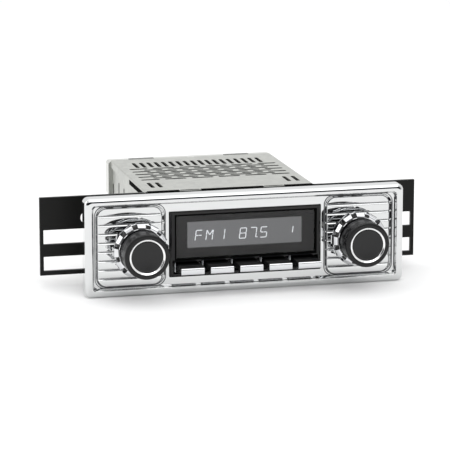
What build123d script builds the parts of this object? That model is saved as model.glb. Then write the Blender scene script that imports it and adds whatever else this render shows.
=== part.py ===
"""Dash-mounted car radio with two concentric shaft controls and five push keys.

Row frame in millimetres: +X to the viewer's right when facing the radio, +Y into the
dashboard, +Z up. The origin is the centre of the bezel's back plane, the plane that
seats on the dashboard, so the bezel is in front of Y = 0 and the case is behind it.
"""
from build123d import *
import os

# Driving dimensions -----------------------------------------------------------------

# Bezel: a chromed frame with a raised rim round a sunken field
BEZEL_WIDTH = 180.0
BEZEL_HEIGHT = 55.0
BEZEL_DEPTH = 8.0
BEZEL_CORNER = 3.2
BEZEL_WALL = 3.0
RIM_WIDTH = 4.0
RIM_SLOPE = 0.9
FIELD_SINK = 2.5
FIELD_THICKNESS = 2.5

# Display window in the bezel
WINDOW_WIDTH = 85.8
WINDOW_BOTTOM = -18.45
WINDOW_TOP = 17.9

# Ribbed trim plates either side of the window
TRIM_X = 64.6
TRIM_WIDTH = 36.8
TRIM_HEIGHT = 43.4
TRIM_RAISE = 1.25
TRIM_BEVEL = 0.8
TRIM_CORNER = 5.0
RIB_PITCH = 4.95
RIB_GROOVES = 8
RIB_GROOVE_WIDTH = 1.2
RIB_GROOVE_DEPTH = 0.4

# Concentric shaft controls
SHAFT_X = 61.4
SHAFT_RADIUS = 3.0
SLEEVE_RADIUS = 4.0
BUSHING_RADIUS = 5.5
RUNNING_CLEARANCE = 0.06
BUSHING_FRONT = -11.0
NUT_ACROSS_FLATS = 14.0
NUT_THICKNESS = 2.2
RING_RADIUS = 15.3
RING_REAR = -12.5
RING_FRONT = -20.8
RING_GROOVES = 12
RING_GROOVE_WIDTH = 3.2
RING_GROOVE_DEPTH = 1.6
KNOB_RADIUS = 12.4
KNOB_REAR = -21.9
KNOB_FRONT = -34.6
KNOB_RING_OUTER = 9.8
KNOB_RING_INNER = 8.7

# Push keys
KEY_COUNT = 5
KEY_PITCH = 16.5
KEY_ROW_X = 0.4
KEY_WIDTH = 13.0
KEY_BOTTOM = -14.9
KEY_TOP = -11.4
KEY_FACE_FRONT = -18.3
KEY_FACE_THICKNESS = 0.9
KEY_CLEARANCE = 0.25

# Display nose
NOSE_FRONT = -7.2
NOSE_GAP = 0.25
LENS_HALF_WIDTH = 39.6
LENS_BOTTOM = -8.6
LENS_TOP = 15.8
LENS_GAP = 0.6
LENS_FRONT = -6.0
LENS_BACK = -4.5
LCD_HALF_WIDTH = 32.6
LCD_BOTTOM = -3.2
LCD_TOP = 11.6
GLASS_HALF_WIDTH = 36.0
GLASS_BOTTOM = -5.0
GLASS_TOP = 13.0
KEY_BAY_HALF_WIDTH = 41.0
KEY_BAY_BACK = -3.4
KEY_BAY_BOTTOM = -16.6
KEY_BAY_TOP = -9.8
BOARD_THICKNESS = 1.6

# Carrier plate behind the dashboard panel
CARRIER_FRONT = 6.0
CARRIER_THICKNESS = 2.0
CARRIER_HALF_WIDTH = 76.0
CARRIER_HALF_HEIGHT = 20.0

# Case
CASE_FRONT = 28.7
CASE_BACK = 124.7
CASE_HALF_WIDTH = 48.6
CASE_HALF_HEIGHT = 22.6
SHEET = 1.0
PANEL_THICKNESS = 1.2
FRONT_TABS = ((-29.0, -17.0), (19.3, 31.1))
REAR_TABS = ((-37.0, -22.5), (20.7, 35.2))
COVER_FLANGE_END = 68.0
COVER_FLANGE_TOP = 18.2

# Cooling slots: rows in the roof and upright slots in the sides
REAR_SLOT_COUNT = 18
REAR_SLOT_START = -37.7
REAR_SLOT_PITCH = 4.36
REAR_SLOT_Y = 76.6
BRICK_ROWS = 9
BRICK_ROW_START = 33.3
BRICK_ROW_PITCH = 4.03
BRICK_LENGTH = 15.7
BRICK_END = 45.2
BRICK_BRIDGE = 2.8
FRONT_SLOT_X = (-41.7, -37.0, 37.4, 42.5)
FRONT_SLOT_Y = 17.5
SIDE_SLOT_BOTTOM = -16.0
SIDE_SLOTS = ((58.0, 13.0), (77.0, 12.6), (93.0, 9.0))

# Mounting brackets
BRACKET_FRONT = 29.3
BRACKET_REACH = 108.2
BRACKET_HALF_HEIGHT = 22.0
BRACKET_THICKNESS = 2.0
ARM_END = 71.7
ARM_BOTTOM = -20.0
ARM_TOP = 21.3
ARM_SLOT_BOTTOM = 19.4
SLOT_OUTER_WEB = 2.0
SLOT_LENGTH = 40.2
SLOT_HEIGHT = 8.1
UPPER_SLOT_Z = -0.43
LOWER_SLOT_Z = -15.5
BRACKET_HOLE_X = 81.7
BRACKET_HOLE_Z = 9.7
BRACKET_HOLE_RADIUS = 3.6

# Heat sink on the back
SINK_HALF_WIDTH = 49.9
SINK_DEPTH = 8.0
SINK_BOTTOM = 2.4
SINK_TOP = 21.8
SINK_FINS = 4
SINK_BASE = 2.8
SINK_FIN = 1.6

# Rear sockets and stud
ANTENNA_X = -34.0
ANTENNA_Z = -7.0
ANTENNA_BORE = 4.6
ANTENNA_DEPTH = 16.0
ANTENNA_MOUTH = 134.0
STUD_Z = -4.5
STUD_RADIUS = 2.5
STUD_FREE_START = 128.0
STUD_END = 146.0
SOCKET_X = (8.0, 44.0)
SOCKET_Z = (-19.0, -5.0)
SOCKET_Y = (119.4, 131.0)
SOCKET_WALL = 1.5
FUSE_X = (-13.0, 6.0)
FUSE_Z = (-16.0, -11.0)

# Main board
BOARD_BOTTOM = -15.0
BOARD_TOP = -13.4

# Derived planes
BEZEL_FRONT = -BEZEL_DEPTH
FIELD_Y = BEZEL_FRONT + FIELD_SINK
FIELD_BACK = FIELD_Y + FIELD_THICKNESS
TRIM_FRONT = FIELD_Y - TRIM_RAISE
CARRIER_BACK = CARRIER_FRONT + CARRIER_THICKNESS
POD_BACK = CARRIER_BACK + 14.0
PANEL_FRONT = CASE_FRONT - PANEL_THICKNESS
BRACKET_BACK = BRACKET_FRONT + BRACKET_THICKNESS
SIDE_FRONT = BRACKET_BACK + 0.1
COVER_INNER = CASE_HALF_WIDTH - SHEET
TRAY_INNER = COVER_INNER - SHEET
CASE_INNER_TOP = CASE_HALF_HEIGHT - SHEET
ARM_INNER = COVER_INNER - BRACKET_THICKNESS
NOSE_HALF_WIDTH = WINDOW_WIDTH / 2 - NOSE_GAP
NOSE_BOTTOM = WINDOW_BOTTOM + NOSE_GAP
NOSE_TOP = WINDOW_TOP - NOSE_GAP
SIDES = {"left": -1, "right": 1}


# Shapes ------------------------------------------------------------------------------

def block(x, y, z):
    """Box between the two limits given along each axis."""
    size = Box(x[1] - x[0], y[1] - y[0], z[1] - z[0])
    return Pos(sum(x) / 2, sum(y) / 2, sum(z) / 2) * size


def rod(x, z, radius, y):
    """Cylinder along Y between the two limits y."""
    return Pos(x, sum(y) / 2, z) * Rot(90, 0, 0) * Cylinder(radius, y[1] - y[0])


def tube(x, z, outer, inner, y):
    """Plain tube along Y."""
    return rod(x, z, outer, y) - rod(x, z, inner, (y[0] - 1, y[1] + 1))


def post(x, y, radius, z):
    """Cylinder along Z between the two limits z."""
    return Pos(x, y, sum(z) / 2) * Cylinder(radius, z[1] - z[0])


def hexagon(x, z, across_flats, y):
    """Hexagonal prism along Y."""
    outline = RegularPolygon(across_flats / 2, 6, major_radius=False)
    prism = extrude(outline, y[1] - y[0])
    return Pos(x, y[1], z) * Rot(90, 0, 0) * prism


def facing(x, y, z):
    """Drawing plane square to Y, its normal pointing into the dashboard."""
    return Plane(origin=(x, y, z), x_dir=(1, 0, 0), z_dir=(0, 1, 0))


def slab(width, height, radius, y, x=0.0, z=0.0, inset=0.0):
    """Rounded rectangle from y[0] to y[1] that narrows by inset on every side."""
    near = facing(x, y[0], z) * RectangleRounded(width, height, radius)
    far_radius = max(radius - inset, 0.2)
    far_outline = RectangleRounded(width - 2 * inset, height - 2 * inset, far_radius)
    return loft([near, facing(x, y[1], z) * far_outline])


def turned(x, z, profile):
    """Solid of revolution about a line along Y, from (radius, y) points."""
    face = make_face(Polyline(*profile, close=True))
    return Pos(x, 0, z) * revolve(face, Axis.Y)


def key_x(number):
    """Centre of a push key, counted from 1 at the left."""
    return KEY_ROW_X + (number - (KEY_COUNT + 1) / 2) * KEY_PITCH


def write(name, *solids):
    """Save one node; several solids in it stay separate."""
    shape = solids[0] if len(solids) == 1 else Compound(children=list(solids))
    export_step(shape, f"parts/{name}.step")


# Front: bezel, trim plates and display nose -----------------------------------------

def bezel():
    shell = slab(BEZEL_WIDTH, BEZEL_HEIGHT, BEZEL_CORNER, (BEZEL_FRONT, 0))
    front_edges = shell.faces().sort_by(Axis.Y)[0].edges()
    shell = fillet(front_edges, 1.8)
    recess_width = BEZEL_WIDTH - 2 * RIM_WIDTH
    recess_height = BEZEL_HEIGHT - 2 * RIM_WIDTH
    shell -= slab(recess_width, recess_height, 3.2, (BEZEL_FRONT, FIELD_Y), inset=RIM_SLOPE)
    hollow_width = BEZEL_WIDTH - 2 * BEZEL_WALL
    hollow_height = BEZEL_HEIGHT - 2 * BEZEL_WALL
    shell -= slab(hollow_width, hollow_height, 2.0, (FIELD_BACK, 1))
    window_height = WINDOW_TOP - WINDOW_BOTTOM
    window_z = (WINDOW_TOP + WINDOW_BOTTOM) / 2
    shell -= slab(WINDOW_WIDTH, window_height, 0.2, (BEZEL_FRONT, 1), z=window_z)
    for side in SIDES.values():
        shell -= rod(side * SHAFT_X, 0, BUSHING_RADIUS + 0.3, (BEZEL_FRONT, 1))
    return shell


def trim_plate(side):
    x = side * TRIM_X
    foot_width = TRIM_WIDTH + 2 * TRIM_BEVEL
    foot_height = TRIM_HEIGHT + 2 * TRIM_BEVEL
    foot_corner = TRIM_CORNER + TRIM_BEVEL
    span = (FIELD_Y, TRIM_FRONT)
    plate = slab(foot_width, foot_height, foot_corner, span, x=x, inset=TRIM_BEVEL)
    for index in range(RIB_GROOVES):
        z = (index - (RIB_GROOVES - 1) / 2) * RIB_PITCH
        across = (x - TRIM_WIDTH, x + TRIM_WIDTH)
        up = (z - RIB_GROOVE_WIDTH / 2, z + RIB_GROOVE_WIDTH / 2)
        plate -= block(across, (TRIM_FRONT - 1, TRIM_FRONT + RIB_GROOVE_DEPTH), up)
    return plate - rod(side * SHAFT_X, 0, BUSHING_RADIUS + 0.3, (BEZEL_FRONT, 0))


def display_housing():
    wide = (-NOSE_HALF_WIDTH, NOSE_HALF_WIDTH)
    nose = block(wide, (NOSE_FRONT, CARRIER_BACK), (NOSE_BOTTOM, NOSE_TOP))
    nose = chamfer(nose.faces().sort_by(Axis.Y)[0].edges(), 0.8)
    flange_wide = (-NOSE_HALF_WIDTH - 0.95, NOSE_HALF_WIDTH + 0.95)
    flange_tall = (NOSE_BOTTOM - 1.2, NOSE_TOP + 1.2)
    nose += block(flange_wide, (CARRIER_BACK, CARRIER_BACK + 1.5), flange_tall)
    seat = LENS_HALF_WIDTH + LENS_GAP
    seat_tall = (LENS_BOTTOM - LENS_GAP, LENS_TOP + LENS_GAP)
    nose -= block((-seat, seat), (NOSE_FRONT - 1, LENS_BACK + 0.1), seat_tall)
    nose -= block((-LCD_HALF_WIDTH, LCD_HALF_WIDTH), (-5, -2), (LCD_BOTTOM, LCD_TOP))
    pocket = GLASS_HALF_WIDTH + 1.0
    pocket_tall = (GLASS_BOTTOM - 0.5, GLASS_TOP + 0.5)
    nose -= block((-pocket, pocket), (-2.4, CARRIER_BACK + 2), pocket_tall)
    bay = (-KEY_BAY_HALF_WIDTH, KEY_BAY_HALF_WIDTH)
    nose -= block(bay, (NOSE_FRONT - 1, KEY_BAY_BACK), (KEY_BAY_BOTTOM, KEY_BAY_TOP))
    nose -= block(bay, (-1.6, CARRIER_BACK + 2), (KEY_BAY_BOTTOM - 0.4, KEY_BAY_TOP + 2.3))
    for number in range(1, KEY_COUNT + 1):
        reach = KEY_WIDTH / 2 + KEY_CLEARANCE
        slot_x = (key_x(number) - reach, key_x(number) + reach)
        slot_z = (KEY_BOTTOM - KEY_CLEARANCE, KEY_TOP + KEY_CLEARANCE)
        nose -= block(slot_x, (-4, -1), slot_z)
    return nose


def display_lens():
    wide = (-LENS_HALF_WIDTH, LENS_HALF_WIDTH)
    return block(wide, (LENS_FRONT, LENS_BACK), (LENS_BOTTOM, LENS_TOP))


def lcd_glass():
    wide = (-GLASS_HALF_WIDTH, GLASS_HALF_WIDTH)
    return block(wide, (-2.2, 0.0), (GLASS_BOTTOM, GLASS_TOP))


def backlight():
    wide = (-GLASS_HALF_WIDTH, GLASS_HALF_WIDTH)
    return block(wide, (0.2, 4.2), (GLASS_BOTTOM, GLASS_TOP))


def display_board():
    start = CARRIER_BACK + 1.5
    return block((-43.2, 43.2), (start, start + BOARD_THICKNESS), (-19.2, 18.6))


def key_switches():
    """Tactile switches on the display board, one behind each key."""
    board_face = CARRIER_BACK + 1.5
    switches = []
    for number in range(1, KEY_COUNT + 1):
        x = key_x(number)
        switches.append(block((x - 3, x + 3), (6.5, board_face), (-16, -10.5)))
    return switches


def key_body(number):
    """Black key with a rear flange that keeps it in its slot and a stem to the switch."""
    x = key_x(number)
    half = KEY_WIDTH / 2
    rear_of_face = KEY_FACE_FRONT + KEY_FACE_THICKNESS
    body = block((x - half, x + half), (rear_of_face, -1.4), (KEY_BOTTOM, KEY_TOP))
    body += block((x - half - 0.8, x + half + 0.8), (-1.4, -0.2), (-16.2, -10.0))
    body += block((x - 2.5, x + 2.5), (-0.2, 5.2), (-14.6, -11.7))
    return body


def key_face(number):
    x = key_x(number)
    half = KEY_WIDTH / 2
    front = (KEY_FACE_FRONT, KEY_FACE_FRONT + KEY_FACE_THICKNESS)
    face = block((x - half, x + half), front, (KEY_BOTTOM, KEY_TOP))
    return chamfer(face.faces().sort_by(Axis.Y)[0].edges(), 0.3)


# Carrier, controls and knobs --------------------------------------------------------

def carrier_plate():
    wide = (-CARRIER_HALF_WIDTH, CARRIER_HALF_WIDTH)
    tall = (-CARRIER_HALF_HEIGHT, CARRIER_HALF_HEIGHT)
    plate = block(wide, (CARRIER_FRONT, CARRIER_BACK), tall)
    window = (-WINDOW_WIDTH / 2, WINDOW_WIDTH / 2)
    plate -= block(window, (CARRIER_FRONT - 1, CARRIER_BACK + 1), (WINDOW_BOTTOM, WINDOW_TOP))
    for side in SIDES.values():
        hole = (CARRIER_FRONT - 1, CARRIER_BACK + 1)
        plate -= rod(side * SHAFT_X, 0, BUSHING_RADIUS + 0.3, hole)
    return plate


def carrier_walls():
    """Two upright walls that join the carrier plate to the case's front panel."""
    walls = []
    for side in SIDES.values():
        x = sorted((side * 43.9, side * 45.4))
        walls.append(block(x, (CARRIER_BACK, PANEL_FRONT), (-18, 18)))
    return walls


def control_pod(side):
    """Open-backed shell that holds one rotary control."""
    x = side * SHAFT_X
    pod = block((x - 12, x + 12), (CARRIER_BACK, POD_BACK), (-15, 15))
    pod -= block((x - 10.4, x + 10.4), (CARRIER_BACK + 1.6, POD_BACK + 1), (-13.4, 13.4))
    return pod - rod(x, 0, BUSHING_RADIUS + 0.05, (CARRIER_BACK - 1, CARRIER_BACK + 2))


def rotary_control(side):
    """Two-stage rotary control with a stepped bore for the sleeve, shaft and plunger."""
    x = side * SHAFT_X
    control = block((x - 10.2, x + 10.2), (10.8, POD_BACK), (-13.2, 13.2))
    control -= rod(x, 0, SLEEVE_RADIUS + RUNNING_CLEARANCE, (10, 13.2))
    return control - rod(x, 0, SHAFT_RADIUS + RUNNING_CLEARANCE, (13, 18.0))


def shaft_bushings():
    """Threaded bushings with a flange clamped inside each pod."""
    bushings = []
    for side in SIDES.values():
        x = side * SHAFT_X
        bushing = rod(x, 0, BUSHING_RADIUS, (BUSHING_FRONT, 9.6))
        bushing += rod(x, 0, 8.0, (9.6, 10.7))
        bushing -= rod(x, 0, SLEEVE_RADIUS + RUNNING_CLEARANCE, (BUSHING_FRONT - 1, 12))
        bushings.append(bushing)
    return bushings


def shaft_nuts():
    """Three nuts on each bushing: outside the trim, inside the bezel, at the carrier."""
    nuts = []
    rear_faces = (TRIM_FRONT, FIELD_BACK + NUT_THICKNESS, CARRIER_FRONT)
    for side in SIDES.values():
        for rear in rear_faces:
            span = (rear - NUT_THICKNESS, rear)
            nut = hexagon(side * SHAFT_X, 0, NUT_ACROSS_FLATS, span)
            nuts.append(nut - rod(side * SHAFT_X, 0, BUSHING_RADIUS + 0.05, (-20, 20)))
    return nuts


def sleeve(side):
    """Outer hollow shaft that carries the castellated ring."""
    inner = SHAFT_RADIUS + RUNNING_CLEARANCE
    return tube(side * SHAFT_X, 0, SLEEVE_RADIUS, inner, (RING_FRONT + 0.3, 13.0))


def ring_knob(side):
    x = side * SHAFT_X
    profile = [
        (SLEEVE_RADIUS + 0.05, RING_REAR),
        (RING_RADIUS - 1.2, RING_REAR),
        (RING_RADIUS, RING_REAR - 0.8),
        (RING_RADIUS, RING_FRONT + 1.0),
        (RING_RADIUS - 0.9, RING_FRONT),
        (SLEEVE_RADIUS + 0.05, RING_FRONT),
    ]
    ring = turned(x, 0, profile)
    groove = block(
        (RING_RADIUS - RING_GROOVE_DEPTH, RING_RADIUS + 1),
        (RING_FRONT - 1, RING_REAR - 2.2),
        (-RING_GROOVE_WIDTH / 2, RING_GROOVE_WIDTH / 2),
    )
    for index in range(RING_GROOVES):
        ring -= Pos(x, 0, 0) * Rot(0, index * 360 / RING_GROOVES, 0) * groove
    return ring


def plunger(side):
    """Short pin between the shaft's end and the push switch in the control."""
    return rod(side * SHAFT_X, 0, SHAFT_RADIUS, (15.0, 17.0))


def shaft(side):
    """Inner shaft with a flat at the knob end."""
    x = side * SHAFT_X
    body = rod(x, 0, SHAFT_RADIUS, (-31.0, 15.0))
    return body - block((x - 4, x + 4), (-32, KNOB_REAR - 0.5), (2.2, 4))


def knob(side):
    """Front knob turned with a grip band, a step and a bevelled rim."""
    bore = SHAFT_RADIUS + 0.04
    seat = KNOB_FRONT + 1.2
    profile = [
        (bore, KNOB_REAR),
        (KNOB_RADIUS - 1.2, KNOB_REAR),
        (KNOB_RADIUS - 0.3, KNOB_REAR - 0.9),
        (KNOB_RADIUS - 0.3, KNOB_REAR - 5.0),
        (KNOB_RADIUS - 0.7, KNOB_REAR - 5.5),
        (KNOB_RADIUS - 0.7, KNOB_REAR - 7.5),
        (KNOB_RADIUS, KNOB_REAR - 8.2),
        (KNOB_RADIUS, KNOB_FRONT + 0.9),
        (KNOB_RADIUS - 0.9, KNOB_FRONT),
        (KNOB_RING_OUTER, KNOB_FRONT),
        (KNOB_RING_OUTER, seat),
        (KNOB_RING_INNER, seat),
        (0, seat),
        (0, -31.1),
        (bore, -31.1),
    ]
    body = turned(side * SHAFT_X, 0, profile)
    return body + bore_flat(side)


def bore_flat(side):
    """Fills the part of the bore above the shaft's flat, with a small gap."""
    x = side * SHAFT_X
    fill = rod(x, 0, SHAFT_RADIUS + 0.2, (-31.1, KNOB_REAR - 0.6))
    return fill & block((x - 4, x + 4), (-32, KNOB_REAR - 0.6), (2.25, 4))


def knob_ring(side):
    """Bright ring set into the knob's front, sloping in towards the centre."""
    profile = [
        (KNOB_RING_INNER, KNOB_FRONT + 1.2),
        (KNOB_RING_OUTER, KNOB_FRONT + 1.2),
        (KNOB_RING_OUTER, KNOB_FRONT - 0.1),
        (KNOB_RING_OUTER - 0.3, KNOB_FRONT - 0.2),
        (KNOB_RING_INNER, KNOB_FRONT + 0.5),
    ]
    return turned(side * SHAFT_X, 0, profile)


def knob_disc(side):
    """Dark dished disc in the centre of the knob."""
    radius = KNOB_RING_INNER - 0.05
    profile = [
        (0, KNOB_FRONT + 1.2),
        (radius, KNOB_FRONT + 1.2),
        (radius, KNOB_FRONT + 0.6),
        (radius * 0.6, KNOB_FRONT + 0.85),
        (0, KNOB_FRONT + 0.95),
    ]
    return turned(side * SHAFT_X, 0, profile)


# Case --------------------------------------------------------------------------------

def front_panel():
    """Closes the front of the case, notched for the cover's tabs and the link connector."""
    wide = (-CASE_HALF_WIDTH, CASE_HALF_WIDTH)
    tall = (-CASE_HALF_HEIGHT, CASE_HALF_HEIGHT)
    panel = block(wide, (PANEL_FRONT, CASE_FRONT), tall)
    through = (PANEL_FRONT - 1, CASE_FRONT + 1)
    for x in FRONT_TABS:
        panel -= block((x[0] - 0.3, x[1] + 0.3), through, (CASE_INNER_TOP, 30))
    return panel - block((-15, 15), through, (-18.5, -10.5))


def chassis_tray():
    """Folded floor and sides, with four bosses under the main board."""
    floor = (-CASE_HALF_HEIGHT, -CASE_HALF_HEIGHT + SHEET)
    inner_floor = ARM_INNER - 0.2
    tray = block((-COVER_INNER, COVER_INNER), (SIDE_FRONT, CASE_BACK), floor)
    tray += block((-inner_floor, inner_floor), (CASE_FRONT, SIDE_FRONT), floor)
    for side in SIDES.values():
        x = sorted((side * TRAY_INNER, side * COVER_INNER))
        tray += block(x, (ARM_END + 0.5, CASE_BACK), (floor[0], CASE_INNER_TOP))
        tray += block(x, (SIDE_FRONT, CASE_BACK), (floor[0], ARM_BOTTOM - 0.3))
    for x in (-38, 38):
        for y in (38, 112):
            tray += post(x, y, 3.0, (floor[1], BOARD_BOTTOM))
    return tray - side_slots()


def side_slots():
    """Upright cooling slots through both sides of the case."""
    cut = block((-1, 1), (0, 1), (0, 1))
    for offset, top in SIDE_SLOTS:
        y = CASE_FRONT + offset
        cut += block((-60, 60), (y - 1.1, y + 1.1), (SIDE_SLOT_BOTTOM, top))
    return cut - block((-40, 40), (0, 200), (-30, 30))


def roof_slots():
    """Cooling slots in the roof: long brick-bonded rows, a rear row and two front pairs."""
    shapes = []
    for index in range(REAR_SLOT_COUNT):
        x = REAR_SLOT_START + REAR_SLOT_PITCH * index
        shapes.append(Pos(x, CASE_FRONT + REAR_SLOT_Y) * SlotOverall(14.8, 2.2, rotation=90))
    for row in range(BRICK_ROWS):
        y = CASE_FRONT + BRICK_ROW_START + BRICK_ROW_PITCH * row
        shift, count = (0.0, 2) if row % 2 == 0 else (0.5, 1)
        inner = [(index + shift) * BRICK_LENGTH for index in range(-count - (row % 2), count + 1)]
        outer = BRICK_END if row % 2 == 0 else BRICK_END - BRICK_LENGTH / 2
        edges = [-outer, *inner, outer]
        for start, end in zip(edges, edges[1:]):
            length = end - start - BRICK_BRIDGE
            shapes.append(Pos((start + end) / 2, y) * SlotOverall(length, 2.5))
    for x in FRONT_SLOT_X:
        shapes.append(Pos(x, CASE_FRONT + FRONT_SLOT_Y) * SlotOverall(14.2, 2.3, rotation=90))
    return [extrude(Pos(0, 0, CASE_INNER_TOP - 1) * shape, 3 * SHEET) for shape in shapes]


def top_cover():
    """Folded lid: roof, side flanges, front and rear tabs and the cooling slots."""
    length = (CASE_FRONT, CASE_BACK)
    wide = (-CASE_HALF_WIDTH, CASE_HALF_WIDTH)
    cover = block(wide, length, (-CASE_HALF_HEIGHT + 1.2, CASE_HALF_HEIGHT))
    roof_bends = cover.edges().filter_by(Axis.Y).group_by(Axis.Z)[-1]
    cover = fillet(roof_bends, 0.9)
    inside = (-CASE_HALF_HEIGHT - 1, CASE_INNER_TOP)
    cover -= block((-COVER_INNER, COVER_INNER), (0, 200), inside)
    cover -= block((-60, 60), (CASE_FRONT + COVER_FLANGE_END, 200), (-30, COVER_FLANGE_TOP))
    cover -= block((-60, 60), (0, SIDE_FRONT), (-30, CASE_INNER_TOP))
    cover -= block((-60, 60), (0, ARM_END), (ARM_SLOT_BOTTOM, ARM_TOP))
    for x in FRONT_TABS:
        cover += block(x, (PANEL_FRONT, CASE_FRONT), (CASE_INNER_TOP, CASE_HALF_HEIGHT - 0.2))
        score = (x[0] + 0.5, x[1] - 0.5)
        cover -= block(score, (CASE_FRONT, CASE_FRONT + 1.2), (CASE_HALF_HEIGHT - 0.5, 30))
    for x in REAR_TABS:
        cover += block(x, (CASE_BACK, CASE_BACK + 3.2), (SINK_TOP, CASE_HALF_HEIGHT))
    cover -= block((-2.4, 2.0), (CASE_BACK - 1.5, 200), (20, 30))
    return cover - side_slots() - roof_slots()


def rear_panel():
    wide = (-TRAY_INNER, TRAY_INNER)
    tall = (-CASE_HALF_HEIGHT + SHEET, CASE_INNER_TOP)
    panel = block(wide, (CASE_BACK - 1.5, CASE_BACK), tall)
    through = (CASE_BACK - 3, CASE_BACK + 1)
    panel -= rod(ANTENNA_X, ANTENNA_Z, 6.1, through)
    panel -= rod(0, STUD_Z, 3.1, through)
    panel -= block(SOCKET_X, through, SOCKET_Z)
    return panel - block(FUSE_X, through, FUSE_Z)


def heat_sink():
    """Finned aluminium bar across the top of the back."""
    wide = (-SINK_HALF_WIDTH, SINK_HALF_WIDTH)
    sink = block(wide, (CASE_BACK, CASE_BACK + SINK_BASE), (SINK_BOTTOM, SINK_TOP))
    pitch = (SINK_TOP - SINK_BOTTOM - SINK_FIN) / (SINK_FINS - 1)
    for index in range(SINK_FINS):
        z = SINK_BOTTOM + index * pitch
        sink += block(wide, (CASE_BACK, CASE_BACK + SINK_DEPTH), (z, z + SINK_FIN))
    for side in SIDES.values():
        x = sorted((side * (SINK_HALF_WIDTH - SINK_FIN), side * SINK_HALF_WIDTH))
        sink += block(x, (CASE_BACK, CASE_BACK + SINK_DEPTH), (SINK_BOTTOM, SINK_TOP))
    corners = sink.edges().filter_by(Axis.Y).group_by(Axis.Z)[-1]
    return chamfer(corners, 1.2)


def antenna_socket():
    start = ANTENNA_MOUTH - ANTENNA_DEPTH
    body = rod(ANTENNA_X, ANTENNA_Z, 6.0, (start - 2, ANTENNA_MOUTH))
    body += hexagon(ANTENNA_X, ANTENNA_Z, 15.0, (CASE_BACK, CASE_BACK + 2))
    return body - rod(ANTENNA_X, ANTENNA_Z, ANTENNA_BORE, (start, ANTENNA_MOUTH + 1))


def rear_stud():
    """Support stud with a hexagonal collar outside the rear panel."""
    stud = rod(0, STUD_Z, 3.0, (120.5, CASE_BACK))
    stud += hexagon(0, STUD_Z, 8.0, (CASE_BACK, STUD_FREE_START))
    return stud + rod(0, STUD_Z, STUD_RADIUS, (STUD_FREE_START, STUD_END))


def wiring_socket():
    inner_x = (SOCKET_X[0] + SOCKET_WALL, SOCKET_X[1] - SOCKET_WALL)
    inner_z = (SOCKET_Z[0] + SOCKET_WALL, SOCKET_Z[1] - SOCKET_WALL)
    shell = block(SOCKET_X, SOCKET_Y, SOCKET_Z)
    return shell - block(inner_x, (SOCKET_Y[0] + 1.6, SOCKET_Y[1] + 1), inner_z)


def wiring_pins():
    pins = []
    for column in range(8):
        for z in (-15.0, -9.0):
            x = SOCKET_X[0] + 4.5 + column * 27.0 / 7
            foot = SOCKET_Y[0] + 1.6
            pins.append(block((x - 0.6, x + 0.6), (foot, foot + 5), (z - 0.6, z + 0.6)))
    return pins


def blade_fuse():
    return block(FUSE_X, (CASE_BACK - 4, CASE_BACK + 4.5), FUSE_Z)


# Electronics -------------------------------------------------------------------------

def main_board():
    return block((-43, 43), (33, 119), (BOARD_BOTTOM, BOARD_TOP))


def tuner_module():
    can = block((-42, -12), (80, 108), (BOARD_TOP, -0.5))
    return chamfer(can.faces().sort_by(Axis.Z)[-1].edges(), 0.6)


def amplifier_chip():
    """Power amplifier standing against the rear panel on a row of legs."""
    chip = block((-16, 16), (118.9, CASE_BACK - 5.2), (3, 16))
    chip += block((-20, 20), (CASE_BACK - 5.2, CASE_BACK - 1.5), (3, 16))
    for index in range(12):
        x = -14.3 + 2.6 * index
        chip += block((x - 0.4, x + 0.4), (118.0, 119.2), (BOARD_TOP, 3.5))
    return chip


def capacitors():
    """Upright electrolytic capacitors."""
    places = ((34, 104, 5.0, 18), (22, 104, 5.0, 18), (10, 106, 4.0, 13), (34, 92, 4.0, 13))
    return [post(x, y, radius, (BOARD_TOP, BOARD_TOP + tall)) for x, y, radius, tall in places]


def logic_chips():
    chips = []
    for x, y, half in ((-20, 60, 7), (8, 62, 5), (30, 60, 4), (-4, 84, 4)):
        chips.append(block((x - half, x + half), (y - half, y + half), (BOARD_TOP, -11.8)))
    return chips


def link_connector():
    """Plug-in bar that joins the display board to the main board."""
    start = CARRIER_BACK + 3.1
    return block((-14, 14), (start, 33.0), (-18.0, -11.0))


# Brackets and fasteners --------------------------------------------------------------

def bracket(side):
    """Angle bracket: an arm along the case side and a slotted front plate."""
    tall = (-BRACKET_HALF_HEIGHT, BRACKET_HALF_HEIGHT)
    thick = (BRACKET_FRONT, BRACKET_BACK)
    reach = sorted((side * (CASE_HALF_WIDTH + 0.2), side * BRACKET_REACH))
    neck = sorted((side * ARM_INNER, side * (CASE_HALF_WIDTH + 0.2)))
    plate = block(reach, thick, tall) + block(neck, thick, (ARM_BOTTOM, ARM_TOP))
    slot_end = BRACKET_REACH - SLOT_OUTER_WEB
    slot_x = sorted((side * slot_end, side * (slot_end - SLOT_LENGTH)))
    through = (BRACKET_FRONT - 1, BRACKET_BACK + 1)
    for z in (UPPER_SLOT_Z, LOWER_SLOT_Z):
        plate -= block(slot_x, through, (z - SLOT_HEIGHT / 2, z + SLOT_HEIGHT / 2))
    plate -= rod(side * BRACKET_HOLE_X, BRACKET_HOLE_Z, BRACKET_HOLE_RADIUS, through)
    arm_x = sorted((side * ARM_INNER, side * COVER_INNER))
    arm = block(arm_x, (BRACKET_BACK, ARM_END), (ARM_BOTTOM, ARM_TOP))
    return plate + arm


def machine_screws():
    """Pan-head screws for the brackets, the cover and the main board."""
    screws = []
    places = ((42, -6), (62, -6), (90, -17))
    head = Rot(0, 90, 0) * Cylinder(2.6, 1.6)
    for side in SIDES.values():
        for y, z in places:
            screws.append(Pos(side * (CASE_HALF_WIDTH + 0.8), y, z) * head)
    for x in (-38, 38):
        for y in (38, 112):
            screws.append(post(x, y, 2.5, (BOARD_TOP, BOARD_TOP + 1.6)))
    return screws


# Files -------------------------------------------------------------------------------

os.makedirs("parts", exist_ok=True)

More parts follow.
